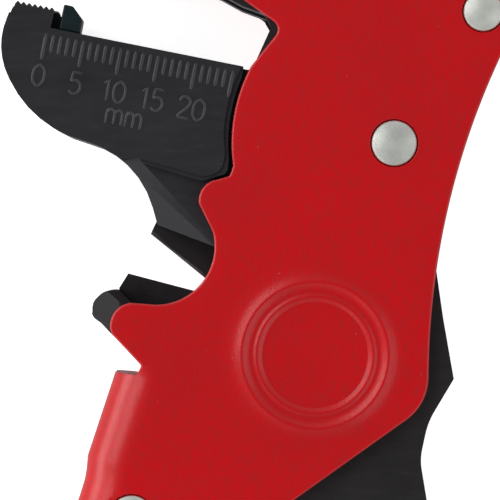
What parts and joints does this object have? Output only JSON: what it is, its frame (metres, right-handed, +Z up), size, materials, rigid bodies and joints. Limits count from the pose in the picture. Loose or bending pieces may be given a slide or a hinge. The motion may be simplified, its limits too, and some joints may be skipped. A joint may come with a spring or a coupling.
{
  "type": "wire stripper",
  "caption": "Self-adjusting wire stripper with stamped body, moving lower jaw with a scale and length stop, pull-back knives and a cable cutter",
  "frame": {"origin": "middle of the bounding box, on the surface that the tool lies on", "axes": "+Z up from the flat side of the grips, +Y from the handles towards the jaws, +X towards the back of the rear handle; the jaws open towards -X"},
  "size_m": [0.085, 0.1836, 0.022],
  "materials": {
    "red_paint": "satin red paint on stamped steel, slightly pebbled",
    "black_plastic": "matte glass-filled black plastic",
    "handle_plastic": "matte black plastic",
    "grip_rubber": "soft matt black overmould",
    "rivet_nickel": "satin nickel plating",
    "bright_steel": "ground steel",
    "dark_steel": "blackened tool steel",
    "bronze": "plain bearing bronze"
  },
  "bodies": {
    "body": {"front_shell": "red_paint", "back_shell": "red_paint", "upper_jaw": "black_plastic", "upper_grip_teeth": "dark_steel", "main_pivot_pin": "bright_steel", "jaw_pivot_rivet": "rivet_nickel", "jaw_pivot_bush": "bronze", "head_rivet": "rivet_nickel", "upper_jaw_rivet": "rivet_nickel", "handle_rivet": "rivet_nickel", "spacer_sleeve": "bright_steel", "front_grip": "grip_rubber", "return_spring": "bright_steel", "spring_seat": "black_plastic"},
    "rear_handle": {"rear_handle": "handle_plastic", "rear_grip": "grip_rubber", "drive_lever": "bright_steel", "pull_pin": "bright_steel", "closing_roller": "bright_steel", "roller_pin": "bright_steel", "lower_cutter_blade": "dark_steel", "lower_cutter_screws": "bright_steel"},
    "lower_jaw": {"lower_jaw": "black_plastic", "lower_grip_teeth": "dark_steel", "upper_cutter_blade": "dark_steel", "upper_cutter_screws": "bright_steel"},
    "upper_knife": {"pull_yoke": "bright_steel", "upper_knife_arm": "bright_steel", "upper_knife": "bright_steel", "yoke_screw": "bright_steel"},
    "lower_knife": {"lower_knife_arm": "bright_steel", "lower_knife": "bright_steel"},
    "length_stop": {"length_stop": "black_plastic"}
  },
  "joints": [
    {"name": "handle_squeeze", "type": "hinge", "parent": "body", "child": "rear_handle", "pos_m": [0.0135, 0.0292, 0.011], "axis": [0, 0, 1], "range_deg": [-20, 0], "stiffness_Nm_per_rad": 1.2, "springref_deg": 8.59, "deforming": ["return_spring"]},
    {"name": "jaw_close", "type": "hinge", "parent": "body", "child": "lower_jaw", "pos_m": [0.0239, 0.057, 0.011], "axis": [0, 0, 1], "range_deg": [-10, 0]},
    {"name": "upper_knife_pull", "type": "slide", "parent": "body", "child": "upper_knife", "axis": [0.9317, -0.3633, 0], "range_m": [0, 0.01321]},
    {"name": "lower_knife_pull", "type": "slide", "parent": "lower_jaw", "child": "lower_knife", "axis": [0.9806, -0.1959, 0], "range_m": [0, 0.01321]},
    {"name": "stop_slide", "type": "slide", "parent": "lower_jaw", "child": "length_stop", "axis": [0.9806, -0.1959, 0], "range_m": [0, 0.015]}
  ],
  "couplings": [
    {"joint": "jaw_close", "follows": "handle_squeeze", "ratio": 0.5},
    {"joint": "upper_knife_pull", "follows": "handle_squeeze", "m_per_rad": -0.037815},
    {"joint": "lower_knife_pull", "follows": "handle_squeeze", "m_per_rad": -0.037815}
  ]
}
